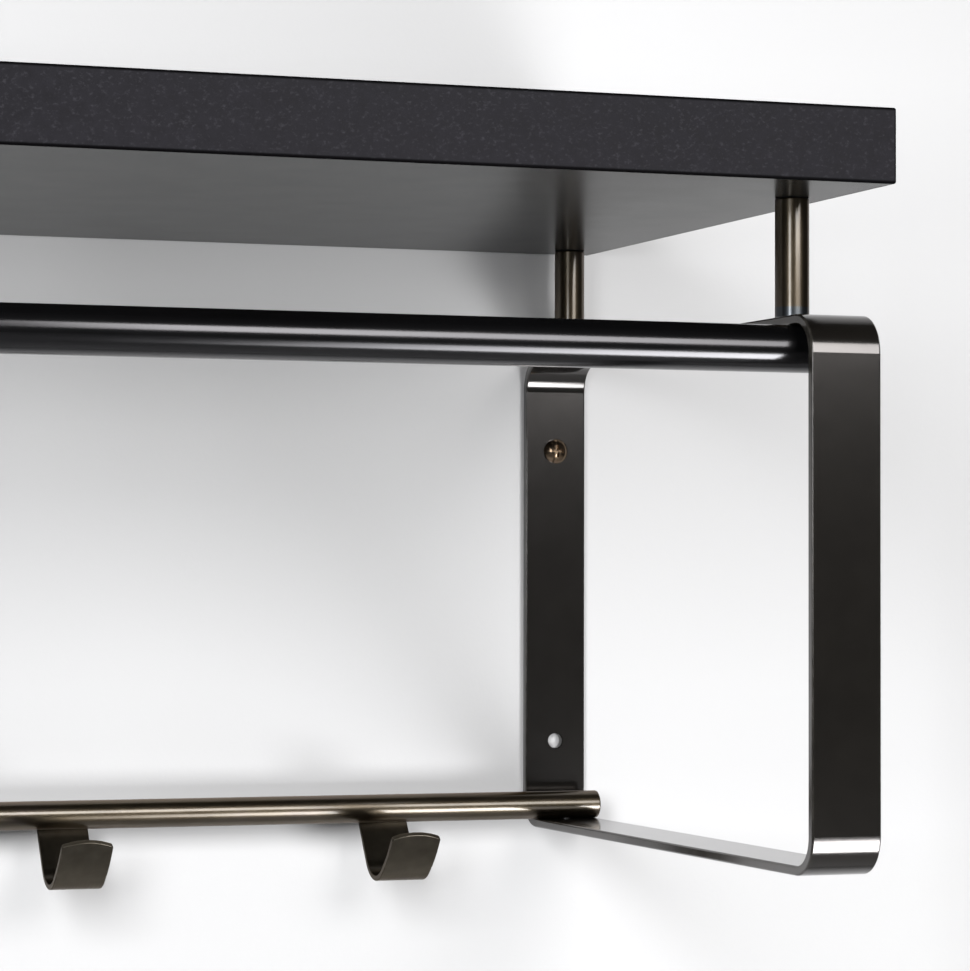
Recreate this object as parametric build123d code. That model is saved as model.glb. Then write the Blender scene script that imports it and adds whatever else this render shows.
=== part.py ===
from build123d import *
from math import cos, radians, sin
import os

# Wall coat rack with a hat shelf, in millimetres, +Z up.
# The wall is the plane Y = 0 and the rack stands out towards -Y.
# The origin lies on the wall, midway between the two lower wall holes.

# ---- driving dimensions -------------------------------------------------

# flat-bar brackets: a closed rectangular loop at each end
BAR_WIDTH = 30.0
BAR_THICKNESS = 4.0
BRACKET_DEPTH = 323.0
BRACKET_HEIGHT = 222.0
BEND_RADIUS = 16.0
BAR_EDGE_RADIUS = 0.8
LOWER_HOLE_HEIGHT = 40.0
WALL_HOLE_SPACING = 138.0
WALL_HOLE_RADIUS = 3.5
WALL_HOLE_CHAMFER = 0.4

# hooks: bent strip, spread evenly between the brackets
HOOK_COUNT = 5
HOOK_SPACING = 151.5
HOOK_END_GAP = 91.0
HOOK_WIDTH = 23.0
HOOK_THICKNESS = 2.5
HOOK_SLOPE = 56.4
HOOK_BACK_LENGTH = 20.0
HOOK_BEND_RADIUS = 16.1
HOOK_BEND_TURN = 93.2
HOOK_TIP_RADIUS = 71.0
HOOK_TIP_TURN = 21.2
HOOK_CREST_RISE = 2.5
HOOK_CORNER_RADIUS = 1.6
HOOK_EDGE_RADIUS = 0.5
HOOK_ROOT_BEHIND = 1.0
HOOK_ROOT_BELOW = 1.0
HOOK_WELD_OVERLAP = 5.0

# round bars
RAIL_RADIUS = 9.5
RAIL_WALL = 1.5
RAIL_SETBACK = 301.5
RAIL_PLUG_LENGTH = 32.0
ROD_RADIUS = 6.5
ROD_SETBACK = 18.0
ROD_PROUD = 0.5
ROUND_BAR_EDGE_RADIUS = 0.8
PLUG_EDGE_RADIUS = 0.4
POST_RADIUS = 7.0
POST_HEIGHT = 50.0
POST_SETBACKS = {"back": 22.0, "front": 272.0}

# shelf board: a laminated core with edge bands
SHELF_DEPTH = 330.0
SHELF_THICKNESS = 30.0
SHELF_WALL_GAP = 5.0
SHELF_OVERHANG = 1.0
SHELF_ARRIS = 1.0
BAND_THICKNESS = 1.5
LAMINATE_THICKNESS = 0.8

# fasteners
THREAD_CLEARANCE = 0.05
M5_RADIUS = 2.5
M6_RADIUS = 3.0
CLEARANCE_OVER_SCREW = 0.25
COUNTERSINK_RIM = 0.4
M5_HEAD_RADIUS = 4.6
M6_HEAD_RADIUS = 5.5
M5_SOCKET_RADIUS = 1.75
M6_SOCKET_RADIUS = 2.3
SOCKET_DEPTH = 1.8
SCREW_POINT_SHARE = 0.2
RAIL_SCREW_LENGTH = 16.0
ROD_SCREW_LENGTH = 12.0
POST_SCREW_LENGTH = 20.0
STUD_LENGTH = 24.0
INSERT_RADIUS = 4.75
INSERT_LENGTH = 13.0
TAPPED_EXTRA = 1.5
WALL_SCREW_LENGTH = 45.0
WALL_SCREW_NECK = 14.0
WALL_SCREW_TIP = 6.0
WALL_SCREW_CREST = 2.5
WALL_SCREW_ROOT = 1.8
WALL_SCREW_PITCH = 2.2
THREAD_RISE_SHARE = 0.5
THREAD_FALL_SHARE = 0.85
WALL_HEAD_RADIUS = 5.8
WALL_HEAD_RIM = 0.9
WALL_HEAD_HEIGHT = 3.6
RECESS_SPAN = 6.2
RECESS_WIDTH = 1.3
RECESS_DEPTH = 2.2

# ---- places that follow from them ---------------------------------------

BRACKET_X = HOOK_SPACING * (HOOK_COUNT - 1) / 2 + HOOK_END_GAP
LENGTH = 2 * BRACKET_X + BAR_WIDTH
BRACKET_BOTTOM = -LOWER_HOLE_HEIGHT
BRACKET_TOP = BRACKET_BOTTOM + BRACKET_HEIGHT
RAIL_Z = BRACKET_TOP - BAR_THICKNESS - RAIL_RADIUS
ROD_Z = BRACKET_BOTTOM + BAR_THICKNESS + ROD_RADIUS
SHELF_BOTTOM = BRACKET_TOP + POST_HEIGHT
SHELF_TOP = SHELF_BOTTOM + SHELF_THICKNESS
SHELF_BACK = -SHELF_WALL_GAP
SHELF_FRONT = SHELF_BACK - SHELF_DEPTH
SIDES = {"left": -1, "right": 1}


def save(shape, name):
    """Writes one sub-part."""
    shape.label = name
    export_step(shape, f"parts/{name}.step")


def x_cylinder(radius, length, y, z):
    """A cylinder along X, centred on X = 0."""
    return Pos(0, y, z) * Rot(0, 90, 0) * Cylinder(radius, length)


def z_cylinder(radius, x, y, low, high):
    """A cylinder along Z between two heights."""
    return Pos(x, y, (low + high) / 2) * Cylinder(radius, high - low)


def box_between(low, high):
    """A box from its lowest corner to its highest corner."""
    size = [b - a for a, b in zip(low, high)]
    middle = [(a + b) / 2 for a, b in zip(low, high)]
    return Pos(*middle) * Box(*size)


def countersink(radius, head_radius, x, y, face, way):
    """The cone and rim that let a head lie flush; way is +1 if the head faces up."""
    cone = head_radius - radius
    seat = Pos(x, y, face - way * (COUNTERSINK_RIM + cone / 2))
    turned = Rot(0, 0, 0) if way > 0 else Rot(180, 0, 0)
    rim = Pos(x, y, face - way * COUNTERSINK_RIM / 2) * Cylinder(head_radius, COUNTERSINK_RIM)
    return seat * turned * Cone(radius, head_radius, cone) + rim


def flush_screw(radius, head_radius, socket_radius, length, x, y, face, way):
    """A countersunk socket screw whose head is flush with a face."""
    tip = face - way * length
    shank = z_cylinder(radius, x, y, min(face, tip), max(face, tip))
    body = shank + countersink(radius, head_radius, x, y, face, way)
    point = body.edges().group_by(Axis.Z)[0 if way > 0 else -1]
    body = chamfer(point, radius * SCREW_POINT_SHARE)
    socket = Pos(x, y, face - way * SOCKET_DEPTH / 2) * extrude(
        RegularPolygon(socket_radius, 6), SOCKET_DEPTH / 2, both=True
    )
    return body - socket


# ---- shelf ---------------------------------------------------------------


def post_places():
    """Where the posts stand, as (x, y)."""
    return [
        (side * BRACKET_X, -setback)
        for side in SIDES.values()
        for setback in POST_SETBACKS.values()
    ]


def insert_holes(low, high):
    """The four holes for the threaded inserts, above the posts."""
    return [z_cylinder(INSERT_RADIUS, x, y, low, high) for x, y in post_places()]


def make_shelf():
    """The board: core, two laminates and four edge bands with a small rounded arris."""
    half = LENGTH / 2 + SHELF_OVERHANG
    low = (-half, SHELF_FRONT, SHELF_BOTTOM)
    high = (half, SHELF_BACK, SHELF_TOP)
    board = box_between(low, high)
    board = fillet(board.edges(), SHELF_ARRIS)

    inner_half = half - BAND_THICKNESS
    inner_front = SHELF_FRONT + BAND_THICKNESS
    inner_back = SHELF_BACK - BAND_THICKNESS
    core_bottom = SHELF_BOTTOM + LAMINATE_THICKNESS
    core_top = SHELF_TOP - LAMINATE_THICKNESS

    core_low = (-inner_half, inner_front, core_bottom)
    core = box_between(core_low, (inner_half, inner_back, core_top))
    core -= insert_holes(core_bottom, SHELF_BOTTOM + INSERT_LENGTH)
    save(core, "shelf_core")

    top_low = (-inner_half, inner_front, core_top)
    top = box_between(top_low, (inner_half, inner_back, SHELF_TOP))
    save(top, "shelf_top_laminate")

    under_low = (-inner_half, inner_front, SHELF_BOTTOM)
    under = box_between(under_low, (inner_half, inner_back, core_bottom))
    under -= insert_holes(SHELF_BOTTOM, core_bottom)
    save(under, "shelf_under_laminate")

    front = board & box_between(low, (half, inner_front, SHELF_TOP))
    save(front, "shelf_front_band")
    back = board & box_between((-half, inner_back, SHELF_BOTTOM), high)
    save(back, "shelf_back_band")
    left_low = (-half, inner_front, SHELF_BOTTOM)
    left = board & box_between(left_low, (-inner_half, inner_back, SHELF_TOP))
    save(left, "shelf_left_band")
    right_low = (inner_half, inner_front, SHELF_BOTTOM)
    right = board & box_between(right_low, (half, inner_back, SHELF_TOP))
    save(right, "shelf_right_band")


# ---- brackets ------------------------------------------------------------


def bar_loop():
    """The closed loop of flat bar, centred on X = 0, with softened long edges."""
    middle = Pos(-BRACKET_DEPTH / 2, BRACKET_BOTTOM + BRACKET_HEIGHT / 2)
    outside = RectangleRounded(BRACKET_DEPTH, BRACKET_HEIGHT, BEND_RADIUS)
    inside = RectangleRounded(
        BRACKET_DEPTH - 2 * BAR_THICKNESS,
        BRACKET_HEIGHT - 2 * BAR_THICKNESS,
        BEND_RADIUS - BAR_THICKNESS,
    )
    section = Plane.YZ * middle * (outside - inside)
    loop = extrude(section, BAR_WIDTH / 2, both=True)
    rims = loop.edges().group_by(Axis.X)
    return fillet(rims[0] + rims[-1], BAR_EDGE_RADIUS)


def wall_hole(z):
    """A chamfered wall hole through the back leg."""
    drill = Cylinder(WALL_HOLE_RADIUS, 2 * BAR_THICKNESS)
    hole = Pos(0, -BAR_THICKNESS / 2, z) * Rot(90, 0, 0) * drill
    mouth_y = -BAR_THICKNESS + WALL_HOLE_CHAMFER / 2
    wide = WALL_HOLE_RADIUS + WALL_HOLE_CHAMFER
    mouth = Pos(0, mouth_y, z) * Rot(90, 0, 0) * Cone(WALL_HOLE_RADIUS, wide, WALL_HOLE_CHAMFER)
    return hole + mouth


def make_bracket(side, name):
    """One bracket with its wall holes and countersunk screw holes."""
    loop = bar_loop()
    loop -= wall_hole(0)
    loop -= wall_hole(WALL_HOLE_SPACING)
    top_low = BRACKET_TOP - BAR_THICKNESS
    bottom_high = BRACKET_BOTTOM + BAR_THICKNESS
    m5_hole = M5_RADIUS + CLEARANCE_OVER_SCREW
    m6_hole = M6_RADIUS + CLEARANCE_OVER_SCREW
    for setback in POST_SETBACKS.values():
        loop -= z_cylinder(m6_hole, 0, -setback, top_low, BRACKET_TOP)
        loop -= countersink(M6_RADIUS, M6_HEAD_RADIUS, 0, -setback, top_low, -1)
    loop -= z_cylinder(m5_hole, 0, -RAIL_SETBACK, top_low, BRACKET_TOP)
    loop -= countersink(M5_RADIUS, M5_HEAD_RADIUS, 0, -RAIL_SETBACK, BRACKET_TOP, 1)
    loop -= z_cylinder(m5_hole, 0, -ROD_SETBACK, BRACKET_BOTTOM, bottom_high)
    loop -= countersink(M5_RADIUS, M5_HEAD_RADIUS, 0, -ROD_SETBACK, BRACKET_BOTTOM, -1)
    save(Pos(side * BRACKET_X, 0, 0) * loop, name)


# ---- round bars ----------------------------------------------------------


def end_edges(bar):
    """The outermost edges of a bar along X."""
    groups = bar.edges().group_by(Axis.X)
    return groups[0] + groups[-1]


def make_rail():
    """The hanging rail: a tube with a turned plug in each end for the screws."""
    tube = x_cylinder(RAIL_RADIUS, LENGTH, -RAIL_SETBACK, RAIL_Z)
    tube = fillet(end_edges(tube), ROUND_BAR_EDGE_RADIUS)
    tube -= x_cylinder(RAIL_RADIUS - RAIL_WALL, LENGTH, -RAIL_SETBACK, RAIL_Z)
    depth = RAIL_SCREW_LENGTH - BAR_THICKNESS + TAPPED_EXTRA
    crest = RAIL_Z + RAIL_RADIUS
    for side, word in ((-1, "left"), (1, "right")):
        x = side * BRACKET_X
        tapped = z_cylinder(M5_RADIUS + THREAD_CLEARANCE, x, -RAIL_SETBACK, crest - depth, crest)
        tube -= tapped
        plug = x_cylinder(RAIL_RADIUS - RAIL_WALL, RAIL_PLUG_LENGTH, -RAIL_SETBACK, RAIL_Z)
        plug = fillet(end_edges(plug), PLUG_EDGE_RADIUS)
        plug = Pos(side * (LENGTH - RAIL_PLUG_LENGTH) / 2, 0, 0) * plug
        save(plug - tapped, f"rail_plug_{word}")
    save(tube, "hanging_rail")


def make_rod():
    """The solid rod that carries the hooks, lying on the brackets' bottom legs."""
    rod = x_cylinder(ROD_RADIUS, LENGTH + 2 * ROD_PROUD, -ROD_SETBACK, ROD_Z)
    rod = fillet(end_edges(rod), ROUND_BAR_EDGE_RADIUS)
    low = ROD_Z - ROD_RADIUS
    depth = ROD_SCREW_LENGTH - BAR_THICKNESS + TAPPED_EXTRA
    tapped = M5_RADIUS + THREAD_CLEARANCE
    for side in SIDES.values():
        rod -= z_cylinder(tapped, side * BRACKET_X, -ROD_SETBACK, low, low + depth)
    save(rod, "hook_rod")


def make_post(x, y, name):
    """A round post tapped at both ends."""
    post = z_cylinder(POST_RADIUS, x, y, BRACKET_TOP, SHELF_BOTTOM)
    rims = post.edges().group_by(Axis.Z)
    post = fillet(rims[0] + rims[-1], ROUND_BAR_EDGE_RADIUS)
    tapped = M6_RADIUS + THREAD_CLEARANCE
    lower_depth = POST_SCREW_LENGTH - BAR_THICKNESS + TAPPED_EXTRA
    upper_depth = STUD_LENGTH / 2 + TAPPED_EXTRA
    post -= z_cylinder(tapped, x, y, BRACKET_TOP, BRACKET_TOP + lower_depth)
    post -= z_cylinder(tapped, x, y, SHELF_BOTTOM - upper_depth, SHELF_BOTTOM)
    save(post, name)


# ---- hooks ---------------------------------------------------------------


def hook_line(start, heading, inset):
    """One face of the strip, as line, bend and tip, at an inset from the outer face."""
    back = Line(start, start + heading * (HOOK_BACK_LENGTH + HOOK_WELD_OVERLAP))
    bend = JernArc(back @ 1, back % 1, HOOK_BEND_RADIUS - inset, -HOOK_BEND_TURN)
    tip = JernArc(bend @ 1, bend % 1, HOOK_TIP_RADIUS - inset, -HOOK_TIP_TURN)
    return back, bend, tip


def hook_strip():
    """The bent strip, centred on X = 0, before it is fitted to the rod."""
    slope = radians(HOOK_SLOPE)
    heading = Vector(-cos(slope), -sin(slope))
    inward = Vector(-sin(slope), cos(slope))
    root = Vector(HOOK_ROOT_BEHIND - ROD_SETBACK, ROD_Z - ROD_RADIUS - HOOK_ROOT_BELOW)
    start = root - heading * HOOK_WELD_OVERLAP
    outer = hook_line(start, heading, 0)
    inner = hook_line(start + inward * HOOK_THICKNESS, heading, HOOK_THICKNESS)
    caps = [Line(outer[0] @ 0, inner[0] @ 0), Line(outer[2] @ 1, inner[2] @ 1)]
    side = make_face([*outer, *inner, *caps])
    strip = extrude(Plane.YZ * side, HOOK_WIDTH / 2, both=True)
    return strip & tip_outline(outer[2] @ 1, outer[2] % 1)


def tip_outline(tip, heading):
    """A long prism through the strip that gives its tip an arched edge with rounded corners."""
    half = HOOK_WIDTH / 2
    reach = BRACKET_HEIGHT
    sag = -HOOK_CREST_RISE
    edge = ThreePointArc((-half, sag), (0, 0), (half, sag))
    sides = Polyline((half, sag), (half, -reach), (-half, -reach), (-half, sag))
    outline = make_face([edge, sides])
    corners = outline.vertices().sort_by(Axis.Y)[-2:]
    outline = fillet(corners, HOOK_CORNER_RADIUS)
    up = Vector(0, heading.X, heading.Y)
    across = Vector(1, 0, 0)
    frame = Plane(origin=(0, tip.X, tip.Y), x_dir=across, z_dir=across.cross(up))
    return extrude(frame * outline, reach, both=True)


def make_hooks():
    """All hooks, each coped to the rod's underside where it is welded."""
    rod = x_cylinder(ROD_RADIUS, LENGTH, -ROD_SETBACK, ROD_Z)
    strip = hook_strip()
    faces = strip.faces().filter_by(GeomType.PLANE).group_by(Axis.X)
    strip = fillet(faces[0].edges() + faces[-1].edges(), HOOK_EDGE_RADIUS)
    first = -HOOK_SPACING * (HOOK_COUNT - 1) / 2
    for index in range(HOOK_COUNT):
        hook = Pos(first + index * HOOK_SPACING, 0, 0) * strip - rod
        save(hook, f"hook_{index + 1}")


# ---- fasteners -----------------------------------------------------------


def wall_screw(x, z):
    """A pan-head wood screw lying along Y, with its head on the back leg's front face."""
    head_top = WALL_HEAD_HEIGHT
    rim = Line((WALL_HEAD_RADIUS, 0), (WALL_HEAD_RADIUS, WALL_HEAD_RIM))
    rise = head_top - WALL_HEAD_RIM
    dome_radius = (WALL_HEAD_RADIUS**2 + rise**2) / (2 * rise)
    dome = RadiusArc(rim @ 1, (0, head_top), -dome_radius)
    points = [(0, head_top), (0, -WALL_SCREW_LENGTH)]
    thread_end = -WALL_SCREW_LENGTH + WALL_SCREW_TIP
    turns = int((WALL_SCREW_LENGTH - WALL_SCREW_TIP - WALL_SCREW_NECK) / WALL_SCREW_PITCH)
    for turn in range(turns):
        foot = thread_end + turn * WALL_SCREW_PITCH
        points.append((WALL_SCREW_ROOT, foot))
        points.append((WALL_SCREW_CREST, foot + WALL_SCREW_PITCH * THREAD_RISE_SHARE))
        points.append((WALL_SCREW_ROOT, foot + WALL_SCREW_PITCH * THREAD_FALL_SHARE))
    points.append((WALL_SCREW_ROOT, thread_end + turns * WALL_SCREW_PITCH))
    points.append((WALL_SCREW_CREST, -WALL_SCREW_NECK))
    points.append((WALL_SCREW_CREST, 0))
    points.append((WALL_HEAD_RADIUS, 0))
    body = revolve(Plane.XZ * make_face([rim, dome, Polyline(*points)]), Axis.Z)
    slot_z = head_top - RECESS_DEPTH / 2
    for size in ((RECESS_SPAN, RECESS_WIDTH), (RECESS_WIDTH, RECESS_SPAN)):
        body -= Pos(0, 0, slot_z) * Box(*size, RECESS_DEPTH)
    return Pos(x, -BAR_THICKNESS, z) * Rot(90, 0, 0) * body


def post_screw(x, y):
    """A screw up through a top leg into a post."""
    face = BRACKET_TOP - BAR_THICKNESS
    sizes = (M6_RADIUS, M6_HEAD_RADIUS, M6_SOCKET_RADIUS, POST_SCREW_LENGTH)
    return flush_screw(*sizes, x, y, face, -1)


def rail_screw(x):
    """A screw down through a top leg into the rail's plug."""
    sizes = (M5_RADIUS, M5_HEAD_RADIUS, M5_SOCKET_RADIUS, RAIL_SCREW_LENGTH)
    return flush_screw(*sizes, x, -RAIL_SETBACK, BRACKET_TOP, 1)


def rod_screw(x):
    """A screw up through a bottom leg into the rod."""
    sizes = (M5_RADIUS, M5_HEAD_RADIUS, M5_SOCKET_RADIUS, ROD_SCREW_LENGTH)
    return flush_screw(*sizes, x, -ROD_SETBACK, BRACKET_BOTTOM, -1)


def shelf_stud(x, y):
    """A stud that joins a post to the shelf's insert."""
    half = STUD_LENGTH / 2
    return z_cylinder(M6_RADIUS, x, y, SHELF_BOTTOM - half, SHELF_BOTTOM + half)


def shelf_insert(x, y):
    """A threaded insert in the shelf's core."""
    high = SHELF_BOTTOM + INSERT_LENGTH
    barrel = z_cylinder(INSERT_RADIUS, x, y, SHELF_BOTTOM, high)
    return barrel - z_cylinder(M6_RADIUS + THREAD_CLEARANCE, x, y, SHELF_BOTTOM, high)


def make_fasteners():
    """Every group of identical fasteners, one node each."""
    sides = [side * BRACKET_X for side in SIDES.values()]
    groups = {
        "wall_screws": [wall_screw(x, WALL_HOLE_SPACING) for x in sides],
        "post_screws": [post_screw(x, y) for x, y in post_places()],
        "rail_screws": [rail_screw(x) for x in sides],
        "rod_screws": [rod_screw(x) for x in sides],
        "shelf_studs": [shelf_stud(x, y) for x, y in post_places()],
        "shelf_inserts": [shelf_insert(x, y) for x, y in post_places()],
    }
    for name, solids in groups.items():
        save(Compound(children=solids), name)


# ---- the whole rack ------------------------------------------------------

os.makedirs("parts", exist_ok=True)
make_shelf()
for word, side in SIDES.items():
    make_bracket(side, f"{word}_bracket")
    for place, setback in POST_SETBACKS.items():
        make_post(side * BRACKET_X, -setback, f"{place}_{word}_post")
make_rail()
make_rod()
make_hooks()
make_fasteners()
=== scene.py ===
import math

import bpy
from mathutils import Matrix, Vector


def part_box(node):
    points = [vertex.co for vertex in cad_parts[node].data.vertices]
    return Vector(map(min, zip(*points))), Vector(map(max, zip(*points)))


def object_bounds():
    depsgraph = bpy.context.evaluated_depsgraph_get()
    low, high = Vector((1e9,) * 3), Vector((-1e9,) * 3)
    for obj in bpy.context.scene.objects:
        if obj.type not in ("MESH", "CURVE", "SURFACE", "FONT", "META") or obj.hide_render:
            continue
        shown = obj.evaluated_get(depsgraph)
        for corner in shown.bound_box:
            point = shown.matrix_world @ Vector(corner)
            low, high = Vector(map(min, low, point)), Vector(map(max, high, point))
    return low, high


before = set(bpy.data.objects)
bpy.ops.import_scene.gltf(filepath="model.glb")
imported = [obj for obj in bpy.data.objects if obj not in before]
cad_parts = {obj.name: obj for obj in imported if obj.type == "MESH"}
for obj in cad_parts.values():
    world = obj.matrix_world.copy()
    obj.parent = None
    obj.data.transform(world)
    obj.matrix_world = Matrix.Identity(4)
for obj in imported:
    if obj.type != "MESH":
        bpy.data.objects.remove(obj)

CAD_LOW, CAD_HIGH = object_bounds()
MM = 0.001

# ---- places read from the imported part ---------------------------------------

BRACKET_LOW, BRACKET_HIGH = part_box("right_bracket")
SHELF_LOW, SHELF_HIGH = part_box("shelf_front_band")
RIGHT_BAR_X = (BRACKET_LOW.x + BRACKET_HIGH.x) / 2
BAR_HALF_WIDTH = (BRACKET_HIGH.x - BRACKET_LOW.x) / 2

# widths of the bracket's painted rim highlight, the post's painted reflection band and the edge
# band's black arrises; ARRIS_CORE is the wholly black share of an arris
RIM_HIGHLIGHT_WIDTH = 1.1 * MM
REFLECTION_BAND_HEIGHT = 5.5 * MM
REFLECTION_BAND_FADE = 0.3 * MM
LONG_ARRIS = 1.6 * MM
END_ARRIS = 1.2 * MM
ARRIS_CORE = 0.4

# ---- camera: the photograph's viewpoint, in metres and degrees --------------

CAMERA_PLACE = Vector((-0.21268, -1.58316, 0.07623))
CAMERA_TURN = 19.875
CAMERA_TILT = 1.536
CAMERA_ROLL = 0.114
CAMERA_LENS = 131.38
CAMERA_SENSOR = 36.0


def make_camera():
    """The camera, looking along +Y turned towards +X, a little upwards."""
    turn, tilt, roll = map(math.radians, (CAMERA_TURN, CAMERA_TILT, CAMERA_ROLL))
    forward = Vector(
        (math.sin(turn) * math.cos(tilt), math.cos(turn) * math.cos(tilt), math.sin(tilt))
    )
    level = Vector((math.cos(turn), -math.sin(turn), 0))
    upright = level.cross(forward)
    right = level * math.cos(roll) + upright * math.sin(roll)
    up = upright * math.cos(roll) - level * math.sin(roll)
    data = bpy.data.cameras.new("camera")
    data.lens = CAMERA_LENS
    data.sensor_width = CAMERA_SENSOR
    camera = bpy.data.objects.new("camera", data)
    bpy.context.scene.collection.objects.link(camera)
    basis = Matrix((right, up, -forward)).transposed()
    camera.matrix_world = Matrix.Translation(CAMERA_PLACE) @ basis.to_4x4()
    bpy.context.scene.camera = camera


# ---- node helpers -----------------------------------------------------------


def add(tree, kind, inputs=None, **settings):
    """A node with its settings, and with its inputs set or linked."""
    made = tree.nodes.new(kind)
    for name, value in settings.items():
        setattr(made, name, value)
    for name, value in (inputs or {}).items():
        if isinstance(value, bpy.types.NodeSocket):
            tree.links.new(value, made.inputs[name])
        else:
            made.inputs[name].default_value = value
    return made


def new_tree(name):
    """A material and its emptied node tree."""
    material = bpy.data.materials.new(name)
    material.use_nodes = True
    material.node_tree.nodes.clear()
    return material, material.node_tree


def finish_material(tree, shader):
    """Links a shader to the material's output."""
    out = add(tree, "ShaderNodeOutputMaterial")
    tree.links.new(shader, out.inputs["Surface"])


def place_of(tree, stretch=(1, 1, 1)):
    """The surface point in the part's frame, in metres, stretched along each axis."""
    point = add(tree, "ShaderNodeTexCoord").outputs["Object"]
    if tuple(stretch) == (1, 1, 1):
        return point
    return add(
        tree, "ShaderNodeVectorMath", {0: point, 1: stretch}, operation="MULTIPLY"
    ).outputs["Vector"]


def noise(tree, size, detail=3.0, rough=0.5, stretch=(1, 1, 1), warp=0.0):
    """Noise whose blotches are about size metres across."""
    return add(
        tree,
        "ShaderNodeTexNoise",
        {
            "Vector": place_of(tree, stretch),
            "Scale": 1 / size,
            "Detail": detail,
            "Roughness": rough,
            "Distortion": warp,
        },
    ).outputs["Fac"]


def remap(tree, value, low, high, new_low, new_high, smooth=False):
    """A value taken from one range to another, and held within it."""
    return add(
        tree,
        "ShaderNodeMapRange",
        {
            "Value": value,
            "From Min": low,
            "From Max": high,
            "To Min": new_low,
            "To Max": new_high,
        },
        interpolation_type="SMOOTHSTEP" if smooth else "LINEAR",
    ).outputs["Result"]


def math_node(tree, operation, first, second=0.0):
    """One sum on two values."""
    return add(
        tree, "ShaderNodeMath", {0: first, 1: second}, operation=operation
    ).outputs["Value"]


def ramp(tree, value, stops):
    """A colour from a value, through (position, colour) stops."""
    made = add(tree, "ShaderNodeValToRGB", {"Fac": value})
    elements = made.color_ramp.elements
    elements[0].position, elements[0].color = stops[0][0], (*stops[0][1], 1)
    elements[1].position, elements[1].color = stops[-1][0], (*stops[-1][1], 1)
    for position, colour in stops[1:-1]:
        elements.new(position).color = (*colour, 1)
    return made.outputs["Color"]


def blend_colours(tree, value, first, second):
    """first where value is 0, second where it is 1."""
    made = add(tree, "ShaderNodeMix", data_type="RGBA")
    tree.links.new(value, made.inputs[0])
    for socket, colour in ((made.inputs[6], first), (made.inputs[7], second)):
        if isinstance(colour, bpy.types.NodeSocket):
            tree.links.new(colour, socket)
        else:
            socket.default_value = (*colour, 1)
    return made.outputs[2]


def bump(tree, height, depth, strength=1.0, under=None):
    """A normal from a height that spans depth metres."""
    inputs = {"Height": height, "Distance": depth, "Strength": strength}
    if under is not None:
        inputs["Normal"] = under
    return add(tree, "ShaderNodeBump", inputs).outputs["Normal"]


def axis_value(tree, axis):
    """The surface point's coordinate along one axis, in metres."""
    return add(tree, "ShaderNodeSeparateXYZ", {"Vector": place_of(tree)}).outputs[axis]


def principled(tree, colour, roughness, normal, **constants):
    """The surface shader; constants are set on its own sockets."""
    inputs = {"Base Color": colour, "Roughness": roughness, "Normal": normal}
    for name, value in constants.items():
        inputs[name.replace("_", " ")] = value
    return add(tree, "ShaderNodeBsdfPrincipled", inputs).outputs["BSDF"]


# ---- materials --------------------------------------------------------------


def bracket_lacquer():
    """Semi-gloss black stove enamel with fine orange peel; its rims are painted lighter, in
    patches, as a highlight.
    """
    material, tree = new_tree("bracket_lacquer")
    across = math_node(tree, "ABSOLUTE", axis_value(tree, "X"))
    off_centre = math_node(
        tree, "ABSOLUTE", math_node(tree, "SUBTRACT", across, RIGHT_BAR_X)
    )
    # painted highlight: the bar's rims are painted lighter than the lacquer, broken up in patches
    rim_highlight_mask = remap(tree, off_centre, BAR_HALF_WIDTH - RIM_HIGHLIGHT_WIDTH, BAR_HALF_WIDTH, 0, 1, True)
    rim_highlight_breakup = remap(tree, noise(tree, 5 * MM), 0.4, 0.65, 0.25, 1)
    painted_rim_highlight = math_node(tree, "MULTIPLY", rim_highlight_mask, rim_highlight_breakup)
    body = ramp(
        tree,
        noise(tree, 18 * MM, 4),
        [(0.3, (0.0030, 0.0026, 0.0021)), (0.7, (0.0042, 0.0037, 0.0030))],
    )
    colour = blend_colours(tree, painted_rim_highlight, body, (0.026, 0.024, 0.021))
    roughness = remap(tree, noise(tree, 7 * MM, 4), 0.3, 0.7, 0.145, 0.155)
    peel = bump(tree, noise(tree, 2.2 * MM, 2), 0.006 * MM)
    peel = bump(tree, noise(tree, 0.5 * MM, 1), 0.0012 * MM, under=peel)
    shader = principled(
        tree, colour, roughness, peel, IOR=1.75, Specular_Tint=(1.0, 0.96, 0.95, 1)
    )
    finish_material(tree, shader)
    return material


def rail_gloss():
    """Gloss black enamel on the drawn tube, with a faint draw line texture."""
    material, tree = new_tree("rail_gloss")
    colour = ramp(
        tree,
        noise(tree, 30 * MM, 3, stretch=(0.25, 1, 1)),
        [(0.3, (0.0012, 0.0012, 0.0013)), (0.7, (0.0020, 0.0020, 0.0022))],
    )
    roughness = remap(
        tree, noise(tree, 3 * MM, 4, stretch=(0.12, 1, 1)), 0.3, 0.7, 0.165, 0.195
    )
    drawn = bump(tree, noise(tree, 2.5 * MM, 2, stretch=(0.1, 1, 1)), 0.002 * MM)
    shader = principled(
        tree, colour, roughness, drawn, IOR=1.50, Specular_Tint=(0.96, 0.95, 1.0, 1)
    )
    finish_material(tree, shader)
    return material


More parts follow.
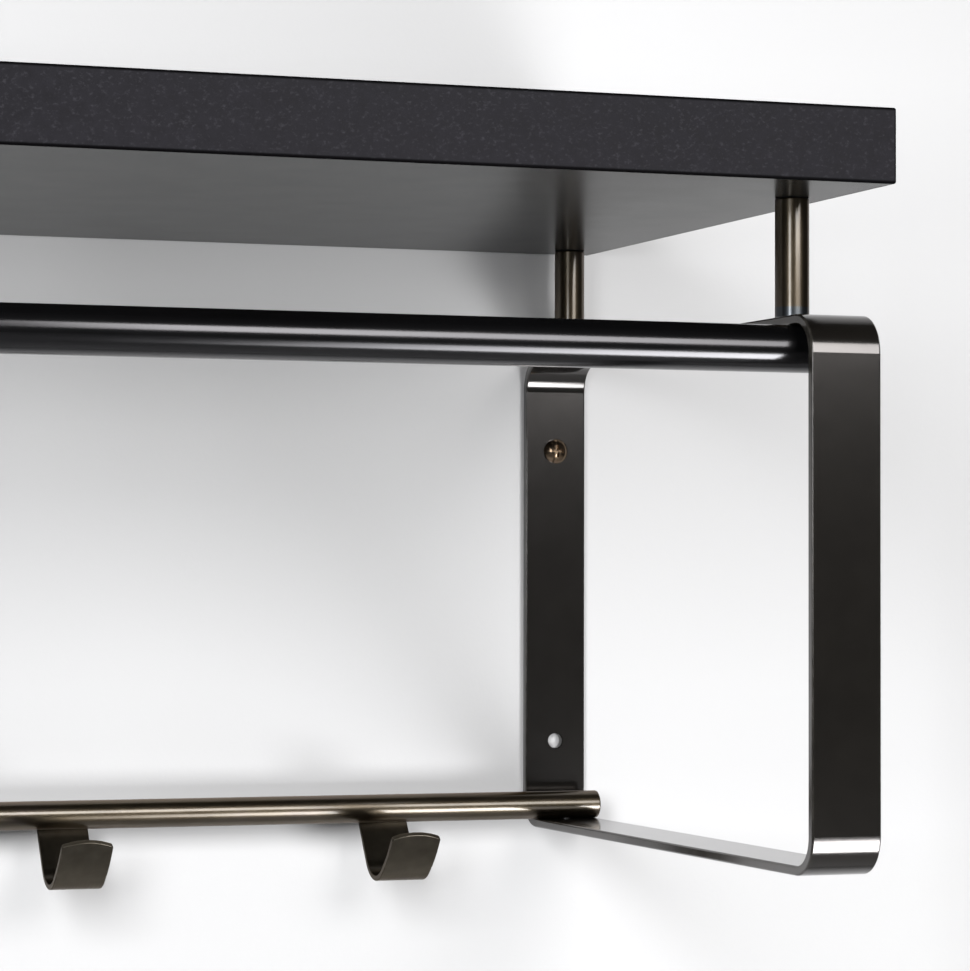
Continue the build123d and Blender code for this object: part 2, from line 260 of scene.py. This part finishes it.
def gunmetal(name, along):
    """Brushed dark bronze-grey metal under clear lacquer; along is the bar's axis."""
    material, tree = new_tree(name)
    drawn = tuple(0.06 if axis == along else 1.0 for axis in "XYZ")
    streaked = tuple(0.3 if axis == along else 1.0 for axis in "XYZ")
    blotch = noise(tree, 12 * MM, 4, stretch=streaked)
    metal = ramp(
        tree,
        blotch,
        [
            (0.3, (0.060, 0.047, 0.032)),
            (0.5, (0.078, 0.064, 0.046)),
            (0.7, (0.088, 0.070, 0.062)),
        ],
    )
    # painted reflection: a bluish band at the post's foot, just above the bracket, stands in for
    # a reflection of the surroundings
    if along == "Z":
        painted_reflection_band = remap(
            tree,
            axis_value(tree, "Z"),
            BRACKET_HIGH.z + REFLECTION_BAND_HEIGHT - REFLECTION_BAND_FADE,
            BRACKET_HIGH.z + REFLECTION_BAND_HEIGHT + REFLECTION_BAND_FADE,
            1,
            0,
            True,
        )
        metal = blend_colours(tree, painted_reflection_band, metal, (0.060, 0.068, 0.078))
    roughness = remap(tree, noise(tree, 0.6 * MM, 3, stretch=drawn), 0.3, 0.7, 0.30, 0.40)
    lines = bump(tree, noise(tree, 0.35 * MM, 2, stretch=drawn), 0.0006 * MM)
    shader = principled(
        tree,
        metal,
        roughness,
        lines,
        Metallic=1.0,
        Specular_Tint=(0.40, 0.34, 0.28, 1),
        Coat_Weight=0.6,
        Coat_Roughness=0.13,
        Coat_IOR=1.6,
        Coat_Tint=(1.0, 0.97, 0.90, 1),
    )
    finish_material(tree, shader)
    return material


def hook_strip():
    """Brushed dark steel strip: fine lines run down the strip."""
    material, tree = new_tree("hook_strip")
    lines = noise(tree, 0.5 * MM, 3, stretch=(1, 0.05, 0.05))
    blotch = noise(tree, 7 * MM, 4)
    metal = ramp(
        tree, blotch, [(0.3, (0.046, 0.039, 0.028)), (0.7, (0.064, 0.055, 0.041))]
    )
    roughness = remap(tree, lines, 0.3, 0.7, 0.30, 0.42)
    normal = bump(tree, lines, 0.0012 * MM)
    normal = bump(tree, noise(tree, 3 * MM, 2), 0.004 * MM, under=normal)
    shader = principled(
        tree,
        metal,
        roughness,
        normal,
        Metallic=1.0,
        Specular_Tint=(0.40, 0.36, 0.30, 1),
        Coat_Weight=0.35,
        Coat_Roughness=0.24,
    )
    finish_material(tree, shader)
    return material


def near_ends(tree, axis, low, high, reach):
    """1 at either end of a range along an axis, falling to 0 within reach of it."""
    middle = (low + high) / 2
    half = (high - low) / 2
    away = math_node(
        tree, "ABSOLUTE", math_node(tree, "SUBTRACT", axis_value(tree, axis), middle)
    )
    return remap(tree, away, half - reach, half - ARRIS_CORE * reach, 0, 1, True)


def shelf_edge():
    """Charcoal edge band: matt, finely pebbled, faintly flecked, black along its arrises."""
    material, tree = new_tree("shelf_edge")
    mottle = noise(tree, 6 * MM, 6, rough=0.65)
    speckle = noise(tree, 1.3 * MM, 3, rough=0.7, stretch=(0.7, 1, 1))
    flecks = remap(tree, speckle, 0.55, 0.72, 0, 1)
    body = ramp(
        tree,
        mottle,
        [(0.3, (0.0062, 0.0059, 0.0074)), (0.7, (0.0098, 0.0094, 0.0116))],
    )
    colour = blend_colours(
        tree, math_node(tree, "MULTIPLY", flecks, 0.45), body, (0.030, 0.029, 0.034)
    )
    arris = math_node(
        tree,
        "MAXIMUM",
        near_ends(tree, "Z", SHELF_LOW.z, SHELF_HIGH.z, LONG_ARRIS),
        near_ends(tree, "X", SHELF_LOW.x, SHELF_HIGH.x, END_ARRIS),
    )
    colour = blend_colours(tree, arris, colour, (0.0016, 0.0016, 0.0018))
    roughness = remap(tree, mottle, 0.3, 0.7, 0.50, 0.62)
    pebbles = bump(tree, noise(tree, 0.9 * MM, 2), 0.03 * MM)
    pebbles = bump(tree, noise(tree, 0.35 * MM, 1), 0.008 * MM, under=pebbles)
    gloss = remap(tree, arris, 0, 1, 0.08, 0.01)
    shader = principled(tree, colour, roughness, pebbles, Specular_IOR_Level=gloss)
    finish_material(tree, shader)
    return material


def shelf_laminate():
    """Satin black laminate: nearly smooth, with a soft sheen at a low angle."""
    material, tree = new_tree("shelf_laminate")
    mottle = noise(tree, 25 * MM, 5, rough=0.6)
    colour = ramp(
        tree,
        mottle,
        [(0.3, (0.0050, 0.0050, 0.0048)), (0.7, (0.0066, 0.0065, 0.0062))],
    )
    roughness = remap(tree, mottle, 0.3, 0.7, 0.235, 0.255)
    pebbles = bump(tree, noise(tree, 1.0 * MM, 2), 0.0035 * MM)
    shader = principled(tree, colour, roughness, pebbles, Specular_IOR_Level=0.045)
    finish_material(tree, shader)
    return material


def particle_board():
    """Pressed wood chips in resin."""
    material, tree = new_tree("particle_board")
    chips = add(
        tree,
        "ShaderNodeTexVoronoi",
        {"Vector": place_of(tree, (1, 1, 2.5)), "Scale": 1 / (3.2 * MM)},
    )
    colour = ramp(
        tree,
        math_node(tree, "MULTIPLY", chips.outputs["Distance"], noise(tree, 2 * MM, 3)),
        [(0.05, (0.50, 0.34, 0.19)), (0.3, (0.38, 0.24, 0.12)), (0.6, (0.20, 0.12, 0.06))],
    )
    roughness = remap(tree, noise(tree, 1.5 * MM), 0.3, 0.7, 0.75, 0.92)
    grain = bump(tree, chips.outputs["Distance"], 0.15 * MM)
    finish_material(tree, principled(tree, colour, roughness, grain))
    return material


def small_metal(name, dark, light, rough, metallic=1.0):
    """Turned and plated small metal, with fine turning marks and a slight mottle."""
    material, tree = new_tree(name)
    colour = ramp(tree, noise(tree, 1.6 * MM, 4), [(0.3, dark), (0.7, light)])
    roughness = remap(tree, noise(tree, 0.8 * MM, 3), 0.3, 0.7, rough[0], rough[1])
    marks = bump(tree, noise(tree, 0.25 * MM, 2), 0.0015 * MM)
    finish_material(
        tree, principled(tree, colour, roughness, marks, Metallic=metallic)
    )
    return material


def dress_object():
    """Gives every CAD node its material."""
    post = gunmetal("gunmetal_post", "Z")
    rod = gunmetal("gunmetal_rod", "X")
    strip = hook_strip()
    lacquer = bracket_lacquer()
    edge = shelf_edge()
    laminate = shelf_laminate()
    board = particle_board()
    gloss = rail_gloss()
    bronzed = small_metal(
        "bronzed_screw", (0.15, 0.105, 0.070), (0.34, 0.25, 0.17), (0.16, 0.26)
    )
    black = small_metal(
        "black_screw", (0.010, 0.010, 0.011), (0.022, 0.021, 0.021), (0.32, 0.45), 0.6
    )
    plated = small_metal(
        "plated_steel", (0.50, 0.51, 0.53), (0.66, 0.67, 0.69), (0.24, 0.36)
    )
    by_start = (
        ("shelf_core", board),
        ("shelf_top_laminate", laminate),
        ("shelf_under_laminate", laminate),
        ("shelf_studs", plated),
        ("shelf_inserts", plated),
        ("shelf_", edge),
        ("left_bracket", lacquer),
        ("right_bracket", lacquer),
        ("hanging_rail", gloss),
        ("rail_plug", plated),
        ("hook_rod", rod),
        ("hook_", strip),
        ("front_", post),
        ("back_", post),
        ("wall_screws", bronzed),
        ("post_screws", black),
        ("rail_screws", black),
        ("rod_screws", black),
    )
    for name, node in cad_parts.items():
        material = next(m for start, m in by_start if name.startswith(start))
        node.data.materials.clear()
        node.data.materials.append(material)


# ---- stage: a pale wall behind, a pale floor below --------------------------

WALL_GAP = 0.5 * MM
WALL_HALF_LENGTH = 4.0
WALL_TOP = 2.6
FLOOR_DROP = 1.60
FLOOR_REACH = 5.0
WALL_PAINT = (0.46, 0.46, 0.465)
FLOOR_PAINT = (0.72, 0.72, 0.72)
PAINT_MOTTLE = 0.985


def pale_paint(name, paint_colour, passes_light):
    """Paint seen from its front only; passes_light lets light from behind through it."""
    material, tree = new_tree(name)
    shade = ramp(
        tree,
        noise(tree, 0.25, 3),
        [(0.3, tuple(PAINT_MOTTLE * c for c in paint_colour)), (0.7, paint_colour)],
    )
    grain = bump(tree, noise(tree, 2 * MM, 2), 0.03 * MM)
    paint = principled(tree, shade, 0.85, grain, Specular_IOR_Level=0.2)
    clear = add(tree, "ShaderNodeBsdfTransparent").outputs["BSDF"]
    hidden = add(tree, "ShaderNodeNewGeometry").outputs["Backfacing"]
    if passes_light:
        shadow = add(tree, "ShaderNodeLightPath").outputs["Is Shadow Ray"]
        hidden = math_node(tree, "MAXIMUM", hidden, shadow)
    mixed = add(tree, "ShaderNodeMixShader", {"Fac": hidden, 1: paint, 2: clear})
    finish_material(tree, mixed.outputs["Shader"])
    return material


def stage_plane(name, corners, material):
    """A one-sided plane of the stage, whose front is the side its corners go round leftwards."""
    mesh = bpy.data.meshes.new(name)
    mesh.from_pydata(corners, [], [(0, 1, 2, 3)])
    mesh.materials.append(material)
    plane = bpy.data.objects.new(name, mesh)
    bpy.context.scene.collection.objects.link(plane)


def make_stage():
    """The wall that the rack hangs on, and the floor."""
    low = CAD_LOW.z - FLOOR_DROP
    reach = WALL_HALF_LENGTH
    wall = [
        (-reach, WALL_GAP, low),
        (reach, WALL_GAP, low),
        (reach, WALL_GAP, WALL_TOP),
        (-reach, WALL_GAP, WALL_TOP),
    ]
    stage_plane("stage_wall", wall, pale_paint("wall_paint", WALL_PAINT, True))
    floor = [
        (-reach, -FLOOR_REACH, low),
        (reach, -FLOOR_REACH, low),
        (reach, WALL_GAP, low),
        (-reach, WALL_GAP, low),
    ]
    stage_plane("stage_floor", floor, pale_paint("floor_paint", FLOOR_PAINT, False))


# ---- light ------------------------------------------------------------------


def softbox(name, centre, size, towards, radiance, colour, near, mirrored):
    """A rectangular softbox that the camera doesn't see.

    Its low X end has near times the mean brightness, and its high X end 2 - near times. With
    mirrored off it lights surfaces without showing in their reflections.
    """
    data = bpy.data.lights.new(name, "AREA")
    data.shape = "RECTANGLE"
    data.size, data.size_y = size
    data.energy = radiance * math.pi * size[0] * size[1]
    data.color = colour
    data.use_nodes = True
    tree = data.node_tree
    tree.nodes.clear()
    spot = add(tree, "ShaderNodeNewGeometry").outputs["Parametric"]
    across = add(tree, "ShaderNodeSeparateXYZ", {"Vector": spot}).outputs["X"]
    strength = remap(tree, across, 0, 1, near, 2 - near)
    glow = add(tree, "ShaderNodeEmission", {"Strength": strength})
    out = add(tree, "ShaderNodeOutputLight")
    tree.links.new(glow.outputs["Emission"], out.inputs["Surface"])
    light = bpy.data.objects.new(name, data)
    light.location = centre
    light.rotation_mode = "QUATERNION"
    light.rotation_quaternion = Vector(towards).to_track_quat("-Z", "Y")
    light.visible_camera = False
    light.visible_glossy = mirrored
    bpy.context.scene.collection.objects.link(light)


SQUARE_ON = (0, 1, 0)
UP_FROM_RIGHT = (-0.25, 0.9, 0.40)
DOWN_FROM_LEFT = (0.5, 0.8, -0.5)
DOWN_FROM_BEHIND = (-0.35, -0.80, -0.55)
WHITE = (1, 1, 1)
WARM_WHITE = (1.0, 0.985, 0.97)
COOL_WHITE = (0.97, 0.985, 1.0)

# name, centre, size, direction, radiance, colour, near, mirrored
SOFTBOXES = (
    ("right_softbox", (0.765, -1.52, 0.61), (0.75, 0.58), SQUARE_ON, 11.0, WARM_WHITE, 1.3, True),
    ("left_softbox", (-0.655, -1.50, 0.50), (0.51, 0.90), SQUARE_ON, 11.0, COOL_WHITE, 1.0, True),
    ("low_softbox", (0.60, -0.895, -0.385), (0.40, 0.36), UP_FROM_RIGHT, 17.5, WHITE, 0.15, True),
    ("left_fill", (-0.655, -1.501, 0.50), (0.51, 0.90), SQUARE_ON, 21.0, WHITE, 1.0, False),
    ("low_fill", (0.77, -0.86, -0.385), (0.72, 0.36), UP_FROM_RIGHT, 3.0, WHITE, 1.0, False),
    ("high_fill", (-0.90, -0.80, 1.10), (0.80, 0.50), DOWN_FROM_LEFT, 10.0, WHITE, 1.0, False),
    ("rear_softbox", (0.70, 1.40, 1.30), (1.20, 1.20), DOWN_FROM_BEHIND, 5.0, WHITE, 1.0, True),
)


def make_lights():
    """Softboxes in front, low at the right and behind, and fills that don't mirror."""
    for row in SOFTBOXES:
        softbox(*row)


FRONT_GLOW = 0.03
REAR_GLOW = 0.30
BACKDROP_GLOW = 0.62
REAR_GLOW_FROM = 0.5


def make_world():
    """Dim in front, where the studio is dark, brighter behind, and pale to the camera."""
    world = bpy.data.worlds.new("studio")
    bpy.context.scene.world = world
    world.use_nodes = True
    tree = world.node_tree
    tree.nodes.clear()
    way = add(tree, "ShaderNodeTexCoord").outputs["Generated"]
    depth = add(tree, "ShaderNodeSeparateXYZ", {"Vector": way}).outputs["Y"]
    strength = remap(tree, depth, 0.0, REAR_GLOW_FROM, FRONT_GLOW, REAR_GLOW, True)
    seen = add(tree, "ShaderNodeLightPath").outputs["Is Camera Ray"]
    shown = remap(tree, seen, 0, 1, 0, BACKDROP_GLOW)
    strength = math_node(tree, "MAXIMUM", strength, shown)
    sky = add(tree, "ShaderNodeBackground", {"Color": (1, 1, 1, 1), "Strength": strength})
    out = add(tree, "ShaderNodeOutputWorld")
    tree.links.new(sky.outputs["Background"], out.inputs["Surface"])


make_camera()
dress_object()
make_stage()
make_lights()
make_world()
bpy.context.scene.view_settings.view_transform = "Standard"
